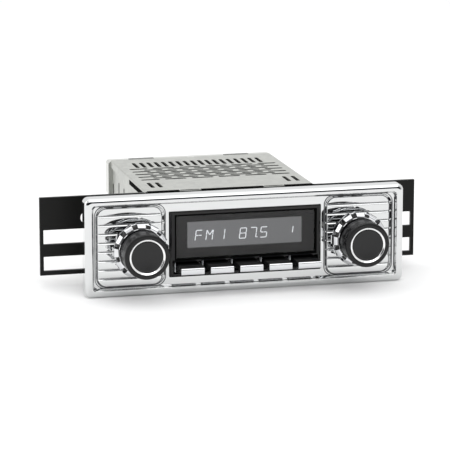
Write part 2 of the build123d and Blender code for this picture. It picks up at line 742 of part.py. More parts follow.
write("bezel", bezel())
write("display_housing", display_housing())
write("display_lens", display_lens())
write("lcd_glass", lcd_glass())
write("backlight", backlight())
write("display_board", display_board())
write("key_switches", *key_switches())
write("carrier_plate", carrier_plate())
write("carrier_walls", *carrier_walls())
write("shaft_bushings", *shaft_bushings())
write("shaft_nuts", *shaft_nuts())
write("front_panel", front_panel())
write("chassis_tray", chassis_tray())
write("top_cover", top_cover())
write("rear_panel", rear_panel())
write("heat_sink", heat_sink())
write("antenna_socket", antenna_socket())
write("rear_stud", rear_stud())
write("wiring_socket", wiring_socket())
write("wiring_pins", *wiring_pins())
write("blade_fuse", blade_fuse())
write("main_board", main_board())
write("tuner_module", tuner_module())
write("amplifier_chip", amplifier_chip())
write("capacitors", *capacitors())
write("logic_chips", *logic_chips())
write("link_connector", link_connector())
write("machine_screws", *machine_screws())

for number in range(1, KEY_COUNT + 1):
    write(f"key_{number}_body", key_body(number))
    write(f"key_{number}_face", key_face(number))

for name, side in SIDES.items():
    write(f"{name}_trim_plate", trim_plate(side))
    write(f"{name}_bracket", bracket(side))
    write(f"{name}_control_pod", control_pod(side))
    write(f"{name}_rotary_control", rotary_control(side))
    write(f"{name}_sleeve", sleeve(side))
    write(f"{name}_ring_knob", ring_knob(side))
    write(f"{name}_plunger", plunger(side))
    write(f"{name}_shaft", shaft(side))
    write(f"{name}_knob", knob(side))
    write(f"{name}_knob_ring", knob_ring(side))
    write(f"{name}_knob_disc", knob_disc(side))
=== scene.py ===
# %% [markdown]
# # A dashboard car radio
#
# The radio is a chromed bezel with two shaft controls, a dark display and five push
# keys, in front of a vented steel case with two black brackets. The engineering model
# already gives every part its size and place, so this lesson loads it as a fixed frame
# and adds finer meshes and materials around it. Nothing here moves or resizes a part.

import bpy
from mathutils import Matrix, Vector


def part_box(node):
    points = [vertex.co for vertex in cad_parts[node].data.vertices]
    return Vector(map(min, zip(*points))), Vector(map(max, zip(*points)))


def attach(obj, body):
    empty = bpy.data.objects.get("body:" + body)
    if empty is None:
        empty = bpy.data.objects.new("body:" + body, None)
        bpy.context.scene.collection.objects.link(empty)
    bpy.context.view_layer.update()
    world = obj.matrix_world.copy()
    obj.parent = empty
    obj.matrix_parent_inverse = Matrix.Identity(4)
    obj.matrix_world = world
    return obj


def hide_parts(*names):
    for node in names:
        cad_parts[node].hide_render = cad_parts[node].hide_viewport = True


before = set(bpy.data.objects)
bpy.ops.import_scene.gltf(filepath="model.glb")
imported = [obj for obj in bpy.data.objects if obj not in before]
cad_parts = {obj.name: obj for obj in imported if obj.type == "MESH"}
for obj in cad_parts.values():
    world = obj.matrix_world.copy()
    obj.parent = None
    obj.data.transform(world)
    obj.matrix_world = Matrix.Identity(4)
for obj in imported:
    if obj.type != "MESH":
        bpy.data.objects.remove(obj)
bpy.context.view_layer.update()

# %% [markdown]
# ## Helpers for colour and nodes
#
# Colours are easiest to choose as sRGB hex values, but shaders work in linear light,
# so one function converts them. A material could be built by hand in the node editor;
# in a script, one small function that adds a node with its settings and links keeps
# every recipe short and readable.

# %% Colour, node and material helpers
import math

import bpy
import bmesh
from mathutils import Vector

MM = 0.001


def linear(hex_colour):
    """Linear RGBA from an sRGB hex colour."""
    digits = hex_colour.lstrip("#")
    parts = [int(digits[i:i + 2], 16) / 255 for i in (0, 2, 4)]
    levels = [p / 12.92 if p <= 0.04045 else ((p + 0.055) / 1.055) ** 2.4 for p in parts]
    return (*levels, 1.0)


def add(tree, kind, settings=None, links=None):
    """Adds a node. A setting is a field of the node or the value of an input."""
    node = tree.nodes.new("ShaderNode" + kind)
    for key, value in (settings or {}).items():
        if isinstance(key, str) and hasattr(node, key):
            setattr(node, key, value)
        else:
            node.inputs[key].default_value = value
    for key, source in (links or {}).items():
        tree.links.new(source, node.inputs[key])
    return node


def begin(name, **surface):
    """A material with its shader's constants set. Returns it, its tree, its shader
    and the object coordinates, which are metres in the radio's own frame."""
    material = bpy.data.materials.new(name)
    material.use_nodes = True
    tree = material.node_tree
    shader = tree.nodes["Principled BSDF"]
    for key, value in surface.items():
        shader.inputs[key.replace("_", " ")].default_value = value
    where = add(tree, "TexCoord").outputs["Object"]
    return material, tree, shader, where


print("helpers ready")

# %% [markdown]
# ## Chrome plate
#
# The bezel, its trim plates and the castellated rings are bright chrome plate over a
# moulding. Chrome is a metal with a nearly neutral reflection of about 0.6 to 0.8 and
# very little roughness, so what shows is the room. A perfect mirror looks computer
# made, so the polish varies a little over a few millimetres, and a very shallow
# waviness bends the reflections as a polished moulding does.

# %% Chrome plate


def chrome_plate(name, tint, polish, waviness_mm=6.0):
    material, tree, shader, where = begin(name, Base_Color=linear(tint), Metallic=1.0)
    haze = add(
        tree, "TexNoise", {"Scale": 1 / (waviness_mm * MM), "Detail": 3.0}, {"Vector": where}
    )
    spread = {"To Min": polish * 0.6, "To Max": polish * 1.6}
    shine = add(tree, "MapRange", spread, {"Value": haze.outputs["Fac"]})
    tree.links.new(shine.outputs["Result"], shader.inputs["Roughness"])
    bump = add(
        tree, "Bump", {"Strength": 0.05, "Distance": 0.02 * MM}, {"Height": haze.outputs["Fac"]}
    )
    tree.links.new(bump.outputs["Normal"], shader.inputs["Normal"])
    return material


bezel_chrome = chrome_plate("bright_chrome_plate", "#d6d7d7", 0.03)
trim_chrome = chrome_plate("ribbed_chrome_plate", "#d5d6d6", 0.035)
ring_chrome = chrome_plate("ring_chrome_plate", "#d8d9db", 0.03)
key_chrome = chrome_plate("key_chrome_plate", "#d6d7d9", 0.1)
print("chrome:", bezel_chrome.name, trim_chrome.name, ring_chrome.name, key_chrome.name)

# %% [markdown]
# ## Black plastics
#
# The display housing is polished ABS, the keys are ABS with a fine spark-eroded
# texture, and the knobs are a satin moulding. All three are the same black; what tells
# them apart is roughness and grain. ABS has an IOR of about 1.53. The mould texture is
# about 0.15 mm, too fine to show, so it is drawn at 0.4 mm. The black strips of painted
# shade in slots and gaps use the same recipe with almost no shine.

# %% Black plastics


def moulded_black(name, colour, roughness, grain_mm, grain_depth, sheen):
    material, tree, shader, where = begin(
        name, Base_Color=linear(colour), IOR=1.53, Specular_IOR_Level=sheen
    )
    grain = add(tree, "TexNoise", {"Scale": 1 / (grain_mm * MM), "Detail": 2.0}, {"Vector": where})
    texture = {"Strength": grain_depth, "Distance": 0.05 * MM}
    bump = add(tree, "Bump", texture, {"Height": grain.outputs["Fac"]})
    tree.links.new(bump.outputs["Normal"], shader.inputs["Normal"])
    wear = add(tree, "TexNoise", {"Scale": 1 / (7 * MM), "Detail": 4.0}, {"Vector": where})
    spread = {"To Min": roughness * 0.75, "To Max": roughness * 1.3}
    shine = add(tree, "MapRange", spread, {"Value": wear.outputs["Fac"]})
    tree.links.new(shine.outputs["Result"], shader.inputs["Roughness"])
    return material


gloss_abs = moulded_black("polished_black_abs", "#0a0a0b", 0.08, 1.2, 0.02, 0.28)
textured_abs = moulded_black("textured_black_abs", "#0d0d0e", 0.45, 0.4, 0.35, 0.32)
knob_abs = moulded_black("satin_black_abs", "#0b0b0c", 0.28, 0.4, 0.12, 0.32)
disc_abs = moulded_black("satin_disc_abs", "#101011", 0.2, 0.5, 0.06, 0.36)
# Flat black for the strips of painted shade behind slots and in gaps.
painted_shade_black = moulded_black("painted_shade_black_strips", "#060606", 0.9, 0.8, 0.4, 0.04)
print("plastics:", gloss_abs.name, textured_abs.name, knob_abs.name, disc_abs.name, painted_shade_black.name)

# %% [markdown]
# ## Galvanised sheet
#
# The case is folded from zinc-coated steel. Its coating is a soft grey metal with
# faint crystals, or spangle, 2 to 5 mm across, and fine rolling lines. Voronoi cells
# are the natural pattern for crystals: each cell gets its own slight tone. The rear
# walls of the roof's slots look darker than the sheet, perhaps because shearing bares
# the steel. That is painted shade: the material mixes a darker copy of the sheet's
# tone into every face whose normal points forward. The material can't find sheared
# edges, so as a shortcut it darkens every face whose normal points forward. Seen from
# behind, the same slots look lighter.

# %% Galvanised sheet


def galvanised_sheet():
    material, tree, shader, where = begin("galvanised_steel", Metallic=1.0)
    crystals = add(tree, "TexVoronoi", {"Scale": 1 / (3.5 * MM)}, {"Vector": where})
    tone = add(tree, "ValToRGB", {}, {"Fac": crystals.outputs["Color"]})
    tone.color_ramp.elements[0].color = linear("#b7b8b4")
    tone.color_ramp.elements[1].color = linear("#c4c5c0")
    # Painted shade: faces whose normal points forward take a darker copy of the sheet's tone.
    normal = add(tree, "TexCoord").outputs["Normal"]
    facing = add(tree, "SeparateXYZ", {}, {"Vector": normal})
    forward_shade = add(
        tree, "MapRange", {"From Min": -0.4, "From Max": -0.8}, {"Value": facing.outputs["Y"]}
    )
    shaded_tone = add(tree, "ValToRGB", {}, {"Fac": crystals.outputs["Color"]})
    shaded_tone.color_ramp.elements[0].color = linear("#6d6e6c")
    shaded_tone.color_ramp.elements[1].color = linear("#777875")
    parts = {0: forward_shade.outputs["Result"], 6: tone.outputs["Color"], 7: shaded_tone.outputs["Color"]}
    colour = add(tree, "Mix", {"data_type": "RGBA"}, parts)
    tree.links.new(colour.outputs[2], shader.inputs["Base Color"])
    stretched = add(tree, "Mapping", {"Scale": (1500.0, 60.0, 1500.0)}, {"Vector": where})
    lines = add(
        tree, "TexNoise", {"Scale": 1.0, "Detail": 3.0}, {"Vector": stretched.outputs["Vector"]}
    )
    shine = add(tree, "MapRange", {"To Min": 0.36, "To Max": 0.52}, {"Value": lines.outputs["Fac"]})
    tree.links.new(shine.outputs["Result"], shader.inputs["Roughness"])
    bump = add(
        tree, "Bump", {"Strength": 0.12, "Distance": 0.03 * MM}, {"Height": lines.outputs["Fac"]}
    )
    tree.links.new(bump.outputs["Normal"], shader.inputs["Normal"])
    return material


galvanised = galvanised_sheet()
print("case:", galvanised.name)

# %% [markdown]
# ## Black stove enamel
#
# The brackets, the front panel and the carrier are steel with a baked black enamel.
# Enamel flows before it hardens, so it has a slight orange peel of 2 to 3 mm and a
# quiet gloss. A low specular level keeps it a true black against the bright metal.

# %% Black stove enamel


def stove_enamel():
    material, tree, shader, where = begin(
        "black_stove_enamel", Base_Color=linear("#0f0f0e"), IOR=1.5, Specular_IOR_Level=0.2
    )
    peel = add(tree, "TexNoise", {"Scale": 1 / (2.5 * MM), "Detail": 1.5}, {"Vector": where})
    bump = add(
        tree, "Bump", {"Strength": 0.18, "Distance": 0.05 * MM}, {"Height": peel.outputs["Fac"]}
    )
    tree.links.new(bump.outputs["Normal"], shader.inputs["Normal"])
    shine = add(tree, "MapRange", {"To Min": 0.3, "To Max": 0.45}, {"Value": peel.outputs["Fac"]})
    tree.links.new(shine.outputs["Result"], shader.inputs["Roughness"])
    return material


enamel = stove_enamel()
print("brackets:", enamel.name)

# %% [markdown]
# ## Turned, extruded and plated metals
#
# The bright ring in each knob is turned aluminium, so its fine lines run round the
# knob. The heat sink is extruded, so its lines run along it. Nuts, screws and the stud
# are zinc plated. One recipe serves them all: a stretched noise makes the lines, and
# its scale decides which way they run.

# %% Lined metals


def lined_metal(name, colour, roughness, lines_per_metre, depth):
    material, tree, shader, where = begin(name, Base_Color=linear(colour), Metallic=1.0)
    stretched = add(tree, "Mapping", {"Scale": lines_per_metre}, {"Vector": where})
    lines = add(
        tree, "TexNoise", {"Scale": 1.0, "Detail": 4.0}, {"Vector": stretched.outputs["Vector"]}
    )
    spread = {"To Min": roughness * 0.7, "To Max": roughness * 1.4}
    shine = add(tree, "MapRange", spread, {"Value": lines.outputs["Fac"]})
    tree.links.new(shine.outputs["Result"], shader.inputs["Roughness"])
    bump = add(
        tree, "Bump", {"Strength": depth, "Distance": 0.03 * MM}, {"Height": lines.outputs["Fac"]}
    )
    tree.links.new(bump.outputs["Normal"], shader.inputs["Normal"])
    return material


ALONG_X = (40.0, 1500.0, 1500.0)
ROUND_Y = (300.0, 2500.0, 300.0)
EVEN_GRAIN = (500.0, 500.0, 500.0)
aluminium_extrusion = lined_metal("extruded_aluminium", "#d8d9d5", 0.35, ALONG_X, 0.2)
zinc_plate = lined_metal("bright_zinc_plate", "#c4c6c8", 0.25, EVEN_GRAIN, 0.1)
turned_aluminium = lined_metal("turned_aluminium", "#eeeeee", 0.14, ROUND_Y, 0.05)
nickel_plate = lined_metal("nickel_plate_on_brass", "#c9c2ad", 0.2, (600.0, 600.0, 600.0), 0.08)
print("metals:", aluminium_extrusion.name, zinc_plate.name)
print("metals:", turned_aluminium.name, nickel_plate.name)

# %% [markdown]
# ## Small mouldings and the circuit boards
#
# Inside and at the back are solder-masked boards, epoxy chips, shrink sleeve, a blade
# fuse and the milky light guide. They show only through the slots and from behind, so
# a mottled colour with the right gloss is enough for each.

# %% Small mouldings


def mottled(name, dark, light, roughness, patch_mm, **surface):
    material, tree, shader, where = begin(name, Roughness=roughness, **surface)
    patches = add(
        tree, "TexNoise", {"Scale": 1 / (patch_mm * MM), "Detail": 3.0}, {"Vector": where}
    )
    tone = add(tree, "ValToRGB", {}, {"Fac": patches.outputs["Fac"]})
    tone.color_ramp.elements[0].color = linear(dark)
    tone.color_ramp.elements[1].color = linear(light)
    tree.links.new(tone.outputs["Color"], shader.inputs["Base Color"])
    bump = add(
        tree, "Bump", {"Strength": 0.1, "Distance": 0.03 * MM}, {"Height": patches.outputs["Fac"]}
    )
    tree.links.new(bump.outputs["Normal"], shader.inputs["Normal"])
    return material


solder_mask = mottled("green_solder_mask", "#12381d", "#1c5a2c", 0.3, 2.0)
epoxy = mottled("moulded_epoxy", "#131313", "#1c1c1c", 0.55, 0.8)
shrink_sleeve = mottled("shrink_sleeve", "#101830", "#1a2648", 0.3, 3.0)
fuse_amber = mottled("amber_fuse_moulding", "#8a3a06", "#b45410", 0.25, 4.0)
# Milky acrylic for the backlight, and the same pale colour for the painted highlights between the
# keys.
milky_acrylic_and_highlight = mottled("milky_acrylic_and_highlight", "#dfe3e6", "#eef1f3", 0.4, 6.0)
print("mouldings:", solder_mask.name, epoxy.name, shrink_sleeve.name, fuse_amber.name)

# %% [markdown]
# ## Display lens and display glass
#
# The lens is smoked acrylic, dark enough that the lit glass shows and the housing
# behind it doesn't. Acrylic has an IOR of 1.49. It is lowered to 1.36 here, only so
# that the front mirrors less and matches. A finish against glare would do that, but
# whether this lens has one isn't known. The display glass is lit from behind, so its
# colour is emission, strong enough to come through the smoke, over a faint grid of
# 0.35 mm dots.

# %% Display lens and display glass


def smoked_acrylic():
    material, tree, shader, where = begin(
        "smoked_acrylic", Base_Color=linear("#a0a0a0"), IOR=1.36, Transmission_Weight=1.0
    )
    smears = add(tree, "TexNoise", {"Scale": 1 / (9 * MM), "Detail": 3.0}, {"Vector": where})
    shine = add(
        tree, "MapRange", {"To Min": 0.01, "To Max": 0.05}, {"Value": smears.outputs["Fac"]}
    )
    tree.links.new(shine.outputs["Result"], shader.inputs["Roughness"])
    return material


def lit_glass():
    material, tree, shader, where = begin(
        "lit_display_glass", Base_Color=linear("#202224"), Roughness=0.3, Emission_Strength=1.0
    )
    low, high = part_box("lcd_glass")
    split = add(tree, "SeparateXYZ", {}, {"Vector": where})
    ends = {"From Min": low[0], "From Max": high[0]}
    across = add(tree, "MapRange", ends, {"Value": split.outputs["X"]})
    tone = add(tree, "ValToRGB", {}, {"Fac": across.outputs["Result"]})
    tone.color_ramp.elements[0].color = linear("#b0b1b4")
    tone.color_ramp.elements[1].color = linear("#a6a7a9")
    tree.links.new(tone.outputs["Color"], shader.inputs["Emission Color"])
    dots = add(tree, "TexChecker", {"Scale": 1 / (0.7 * MM)}, {"Vector": where})
    bump = add(
        tree, "Bump", {"Strength": 0.05, "Distance": 0.01 * MM}, {"Height": dots.outputs["Fac"]}
    )
    tree.links.new(bump.outputs["Normal"], shader.inputs["Normal"])
    return material


def lit_segment():
    material, tree, shader, where = begin(
        "lit_display_segment", Base_Color=linear("#c8ccd0"), Roughness=0.4, Emission_Strength=3.0
    )
    flicker = add(tree, "TexNoise", {"Scale": 1 / (3 * MM)}, {"Vector": where})
    tone = add(tree, "ValToRGB", {}, {"Fac": flicker.outputs["Fac"]})
    tone.color_ramp.elements[0].color = linear("#c3c6ca")
    tone.color_ramp.elements[1].color = linear("#e9ecef")
    tree.links.new(tone.outputs["Color"], shader.inputs["Emission Color"])
    return material


lens_acrylic = smoked_acrylic()
display_glass = lit_glass()
segment_light = lit_segment()
print("display:", lens_acrylic.name, display_glass.name, segment_light.name)

# %% [markdown]
# ## Dress the parts whose shape is already right
#
# Folded sheet, screws, boards and brackets need no new mesh, only a finish. Each node
# keeps its mesh and gets a material in its slots. A bevel modifier of a few tenths of
# a millimetre rounds the sheared edges so that they catch the light.

# %% Dress the engineering parts

FINISHES = {
    galvanised: ("chassis_tray", "top_cover", "rear_panel", "tuner_module"),
    enamel: ("left_bracket", "right_bracket", "front_panel", "carrier_plate", "carrier_walls"),
    aluminium_extrusion: ("heat_sink",),
    zinc_plate: (
        "shaft_bushings", "shaft_nuts", "machine_screws", "rear_stud",
        "left_sleeve", "right_sleeve", "left_shaft", "right_shaft",
    ),
    nickel_plate: ("antenna_socket", "wiring_pins"),
    gloss_abs: ("display_housing",),
    textured_abs: (
        "wiring_socket", "link_connector", "key_switches", "left_control_pod", "right_control_pod",
        "left_rotary_control", "right_rotary_control", "left_plunger", "right_plunger",
    ),
    solder_mask: ("main_board", "display_board"),
    epoxy: ("amplifier_chip", "logic_chips"),
    shrink_sleeve: ("capacitors",),
    fuse_amber: ("blade_fuse",),
    milky_acrylic_and_highlight: ("backlight",),
    lens_acrylic: ("display_lens",),
    display_glass: ("lcd_glass",),
}


def dress(node_name, material):
    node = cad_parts[node_name]
    for slot in node.material_slots:
        slot.material = material
    if not node.material_slots:
        node.data.materials.append(material)
    return node


def round_edges(node, width_mm):
    bevel = node.modifiers.new("worn_edges", "BEVEL")
    bevel.width = width_mm * MM
    bevel.segments = 2
    bevel.limit_method = "ANGLE"
    bevel.angle_limit = math.radians(50)
    bevel.harden_normals = False


for material, names in FINISHES.items():
    for node_name in names:
        dress(node_name, material)
for node_name in ("left_bracket", "right_bracket", "heat_sink", "display_housing", "wiring_socket"):
    round_edges(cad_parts[node_name], 0.25)
print("dressed", sum(len(names) for names in FINISHES.values()), "nodes")

# %% [markdown]
# ## Mesh helpers
#
# Each new piece is a list of points in millimetres and a list of faces. Two ways of
# making them cover most of this radio: rings of points joined one to the next, for
# rims and turned parts, and a flat profile pushed along X, for keys. Faces are shaded
# smooth except where they meet at a real edge, and weighted normals keep the broad
# faces flat, which matters on chrome because a bent normal bends every reflection.

# %% Mesh helpers


def piece(name, points, faces, material, body, replaced=()):
    """A new object from points in millimetres, riding on a body of the frame."""
    mesh = bpy.data.meshes.new(name)
    mesh.from_pydata([tuple(MM * v for v in point) for point in points], [], faces)
    work = bmesh.new()
    work.from_mesh(mesh)
    bmesh.ops.recalc_face_normals(work, faces=work.faces)
    work.to_mesh(mesh)
    work.free()
    mesh.materials.append(material)
    for polygon in mesh.polygons:
        polygon.use_smooth = True
    mesh.set_sharp_from_angle(angle=math.radians(38))
    obj = bpy.data.objects.new(name, mesh)
    bpy.context.scene.collection.objects.link(obj)
    weighted = obj.modifiers.new("flat_faces", "WEIGHTED_NORMAL")
    weighted.keep_sharp = True
    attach(obj, body)
    if replaced:
        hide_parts(*replaced)
    return obj


def joined_rings(rings, close_ends=False, loop=False):
    """Points and quads from rings that all have the same number of points."""
    count = len(rings[0])
    points = [point for ring in rings for point in ring]
    faces = []
    pairs = list(zip(range(len(rings)), range(1, len(rings))))
    if loop:
        pairs.append((len(rings) - 1, 0))
    for first, second in pairs:
        for i in range(count):
            j = (i + 1) % count
            a, b = first * count, second * count
            faces.append((a + i, a + j, b + j, b + i))
    if close_ends:
        faces.append(tuple(range(count)))
        faces.append(tuple(range((len(rings) - 1) * count, len(rings) * count)))
    return points, faces


def arc(centre, radius, start, end, steps):
    """Points along an arc in a plane, angles in degrees."""
    angles = [math.radians(start + (end - start) * i / steps) for i in range(steps + 1)]
    return [(centre[0] + radius * math.cos(a), centre[1] + radius * math.sin(a)) for a in angles]


def mm_box(*nodes):
    """Lowest and highest corner of some nodes, in millimetres."""
    boxes = [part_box(node) for node in nodes]
    low = [min(box[0][axis] for box in boxes) / MM for axis in range(3)]
    high = [max(box[1][axis] for box in boxes) / MM for axis in range(3)]
    return low, high


print("mesh helpers ready")

# %% [markdown]
# ## Bezel
#
# The bezel is a plated moulding: a rolled outer rim, a flat crest, a short slope down
# to the sunken field, and a window for the display. It could be cut from a block with
# booleans, but chrome shows every uneven triangle, so it is drawn as rings instead:
# one rounded rectangle repeated at each step of the rim's section.

# %% Bezel

CORNER_STEPS = 10
RIM_DEPTH = 2.5
ROLL_WIDTH, ROLL_DEPTH = 2.6, 1.9
BEZEL_CORNER = 3.2
SHELL_THICKNESS = 3.0
WINDOW_HALF_WIDTH = 42.9
WINDOW_BOTTOM, WINDOW_TOP = -18.45, 17.9


def rounded_outline(half_width, half_height, corner, y, centre_z=0.0):
    """Ring of points round a rounded rectangle at depth y."""
    ring = []
    for quarter, (side_x, side_z) in enumerate(((1, 1), (-1, 1), (-1, -1), (1, -1))):
        centre = (side_x * (half_width - corner), side_z * (half_height - corner))
        for x, z in arc(centre, corner, 90 * quarter, 90 * quarter + 90, CORNER_STEPS):
            ring.append((x, y, centre_z + z))
    return ring


def rim_section(front, field):
    """(inset, y) steps from the back edge, over the rim, to the sunken field."""
    turn = arc((0, 0), 1.0, 0, 90, 14)
    roll = [(ROLL_WIDTH * (1 - x), front + ROLL_DEPTH * (1 - z)) for x, z in turn]
    lip = [(3.6, front), (3.85, front + 0.06), (4.02, front + 0.25)]
    foot = [(4.8, field - 0.25), (4.9, field - 0.08), (5.1, field)]
    return [(0.0, 0.0)] + roll + lip + foot


def make_bezel():
    low, high = mm_box("bezel")
    half_width, half_height = high[0], high[2]
    front = low[1]
    field = front + RIM_DEPTH
    rings = []
    for inset, y in rim_section(front, field):
        radius = max(BEZEL_CORNER - inset * 0.3, 1.6)
        rings.append(rounded_outline(half_width - inset, half_height - inset, radius, y))
    middle = (WINDOW_BOTTOM + WINDOW_TOP) / 2
    half_window = (WINDOW_TOP - WINDOW_BOTTOM) / 2
    back = field + 2.5
    for grow, y in ((0.45, field), (0.12, field + 0.06), (0.0, field + 0.25), (0.0, back)):
        rings.append(rounded_outline(WINDOW_HALF_WIDTH + grow, half_window + grow, 0.5, y, middle))
    inner_width, inner_height = half_width - SHELL_THICKNESS, half_height - SHELL_THICKNESS
    for y in (back, 0.0):
        rings.append(rounded_outline(inner_width, inner_height, 2.0, y))
    points, faces = joined_rings(rings, loop=True)
    return piece("bezel_shell", points, faces, bezel_chrome, "body", ["bezel"])


bezel = make_bezel()
print("bezel:", len(bezel.data.polygons), "faces")

# %% [markdown]
# ## Ribbed trim plates
#
# Each plate is a rounded square crossed by eight pressed grooves, with slightly
# crowned bands between them. A bump map would give lines that don't reach the
# silhouette, so the ribs are geometry: a row of points for each step of the section,
# as wide as the rounded square is at that height.

# %% Ribbed trim plates

RIB_PITCH = 4.95
RIB_COUNT = 9
GROOVE_HALF_WIDTH = 0.75
PLATE_CORNER = 5.0
LEFT_BEVEL, RIGHT_BEVEL, END_BEVEL = 0.8, 1.9, 1.0


def rib_section(half_height):
    """(z, depth) steps from the bottom of a plate to its top."""
    half_groove = [(-GROOVE_HALF_WIDTH, 0.0), (-0.6, 0.05), (-0.42, 0.32), (-0.15, 0.42)]
    groove = half_groove + [(-offset, depth) for offset, depth in reversed(half_groove)]
    steps = []
    for band in range(RIB_COUNT):
        middle = (band - (RIB_COUNT - 1) / 2) * RIB_PITCH
        start = max(middle - RIB_PITCH / 2 + GROOVE_HALF_WIDTH, -half_height)
        end = min(middle + RIB_PITCH / 2 - GROOVE_HALF_WIDTH, half_height)
        for part in range(1, 8):
            t = part / 8
            steps.append((start + (end - start) * t, -0.05 * 4 * t * (1 - t)))
        if band < RIB_COUNT - 1:
            edge = middle + RIB_PITCH / 2
            steps.extend((edge + offset, depth) for offset, depth in groove)
    steps = [(-half_height, 0.0)] + steps + [(half_height, 0.0)]
    return [step for step in steps if abs(step[0]) <= half_height]


def make_trim_plate(side_name):
    low, high = mm_box(f"{side_name}_trim_plate")
    left_edge, right_edge = low[0] + LEFT_BEVEL, high[0] - RIGHT_BEVEL
    half_height = high[2] - END_BEVEL
    rows = []
    for z, depth in rib_section(half_height):
        into_corner = max(abs(z) - (half_height - PLATE_CORNER), 0.0)
        trimmed = PLATE_CORNER - math.sqrt(max(PLATE_CORNER ** 2 - into_corner ** 2, 0.0))
        sine = into_corner / PLATE_CORNER
        cosine = math.sqrt(max(1 - sine ** 2, 0.0))
        foot_z = z + END_BEVEL * math.copysign(sine, z)
        row = []
        for sign, end, bevel in ((-1, left_edge, LEFT_BEVEL), (1, right_edge, RIGHT_BEVEL)):
            reach = end - sign * trimmed
            inner = (reach - sign * 0.25, low[1] + depth, z)
            edge = (reach, low[1] + max(depth, 0.0) + 0.12, z)
            foot = (reach + sign * bevel * cosine, high[1], foot_z)
            row.append((foot, edge, inner))
        left, right = row
        rows.append([*left, *reversed(right)])
    points = [point for row in rows for point in row]
    wide = len(rows[0])
    faces = []
    for r in range(len(rows) - 1):
        for c in range(wide - 1):
            a = r * wide + c
            faces.append((a, a + 1, a + wide + 1, a + wide))
    last = (len(rows) - 1) * wide
    for base in (0, last):
        faces.append(tuple(base + i for i in range(wide)))
    return piece(
        f"{side_name}_ribbed_trim", points, faces, trim_chrome, "body",
        [f"{side_name}_trim_plate"],
    )


trims = [make_trim_plate(side_name) for side_name in ("left", "right")]
print("trim plates:", [len(trim.data.polygons) for trim in trims])

# %% [markdown]
# ## Outlines of the trim plates
#
# A thin dark line shows round the foot of each plate, another round the top of its
# bevel, and one in each pressed groove. They may be gaskets and paint, or only the dark
# side of the room mirrored in the chrome: which one isn't known. They are painted shade
# and painted reflection: dark strips stand in for the shade in the gaps and grooves and
# for the dark side of the room mirrored in the chrome. Drawn as real strips about half
# a millimetre wide, they stay crisp on the mirror surface. Their tone drifts between
# black and grey along the way.

# %% Outlines and groove lines in painted shade

FOOT_LINE_WIDTH, TOP_LINE_WIDTH = 0.45, 0.38
TOP_LINE_INSET, TOP_LINE_CORNER = 0.15, 4.9
SHADE_LINE_INSET = 0.8
SHADE_LINE_SECTION = ((-0.22, 0.36), (0.22, 0.36), (0.22, 0.5), (-0.22, 0.5))

# Painted shade and painted reflection: dark lines whose tone drifts from black to grey.
painted_shade_lines = mottled("painted_shade_and_reflection_lines", "#101112", "#85878a", 0.35, 6.0)


def make_outline(name, left, right, half_height, corner, width, y_front, y_back):
    """A flat strip round a rounded rectangle."""
    centre_x, half_width = (left + right) / 2, (right - left) / 2
    rings = []
    for grow, y in ((0.0, y_back), (0.0, y_front), (width, y_front), (width, y_back)):
        outline = rounded_outline(half_width + grow, half_height + grow, corner + grow, y)
        rings.append([(centre_x + x, depth, z) for x, depth, z in outline])
    points, faces = joined_rings(rings, loop=True)
    return piece(name, points, faces, painted_shade_lines, "body")


# Painted shade round each plate's foot and round the top of its bevel.
def make_shade_outlines(side_name):
    low, high = mm_box(f"{side_name}_trim_plate")
    foot = make_outline(
        f"{side_name}_foot_shade_line", low[0] - 0.3, high[0] + 0.1, high[2] - 0.1, PLATE_CORNER,
        FOOT_LINE_WIDTH, high[1] - 0.3, high[1],
    )
    top = make_outline(
        f"{side_name}_bevel_shade_line", low[0] + LEFT_BEVEL - TOP_LINE_INSET,
        high[0] - RIGHT_BEVEL - TOP_LINE_INSET, high[2] - END_BEVEL - TOP_LINE_INSET,
        TOP_LINE_CORNER, TOP_LINE_WIDTH, low[1] - 0.06, low[1] + 0.2,
    )
    return foot, top


# Painted shade in each pressed groove.
def make_groove_shade(side_name):
    low, high = mm_box(f"{side_name}_trim_plate")
    points, faces = [], []
    for groove in range(RIB_COUNT - 1):
        z = (groove - RIB_COUNT / 2 + 1) * RIB_PITCH
        from_corner = max(abs(z) - (high[2] - END_BEVEL - PLATE_CORNER), 0.0)
        trimmed = PLATE_CORNER - math.sqrt(PLATE_CORNER ** 2 - from_corner ** 2)
        rings = []
        left = low[0] + LEFT_BEVEL + SHADE_LINE_INSET + trimmed
        right = high[0] - RIGHT_BEVEL - SHADE_LINE_INSET - trimmed
        for x in (left, right):
            rings.append([(x, low[1] + depth, z + up) for up, depth in SHADE_LINE_SECTION])
        new_points, new_faces = joined_rings(rings, close_ends=True)
        faces += [tuple(len(points) + i for i in face) for face in new_faces]
        points += new_points
    return piece(f"{side_name}_groove_shade", points, faces, painted_shade_lines, "body")


lines = [make_shade_outlines(side_name) for side_name in ("left", "right")]
shades = [make_groove_shade(side_name) for side_name in ("left", "right")]
print("outlines:", 2 * len(lines), "groove paints:", len(shades))

# %% [markdown]
# ## Turned knobs
#
# A knob is a turned part, so its section is drawn once and swept round the shaft. The
# front knob has a grip band, a narrow step and a rounded rim; the bright ring slopes in
# towards a dished disc. The castellated ring behind it is turned too, but its radius
# also depends on the angle, which gives twelve flat teeth. The gaps look black, so a
# black core fills them, though a deeper hollow or a reflection could look the same.

# %% Knobs and rings

TURN_STEPS = 120
TEETH = 12
GAP_WIDTH = 3.2
RING_RADIUS = 15.3
HALF_TOOTH = math.pi / TEETH - math.asin(GAP_WIDTH / 2 / RING_RADIUS)


def round_turn():
    """(angle, gap) pairs for a plain turned part."""
    return [(2 * math.pi * i / TURN_STEPS, 0.0) for i in range(TURN_STEPS)]


def toothed_turn():
    """(angle, gap) pairs for a castellated part: gap is 0 on a tooth and 1 between."""
    pitch = 2 * math.pi / TEETH
    pairs = []
    for tooth in range(TEETH):
        middle = tooth * pitch
        pairs += [(middle + HALF_TOOTH * part, 0.0) for part in (-1, -0.5, 0, 0.5, 1)]
        pairs += [(middle + HALF_TOOTH, 1.0), (middle + pitch - HALF_TOOTH, 1.0)]
    return pairs


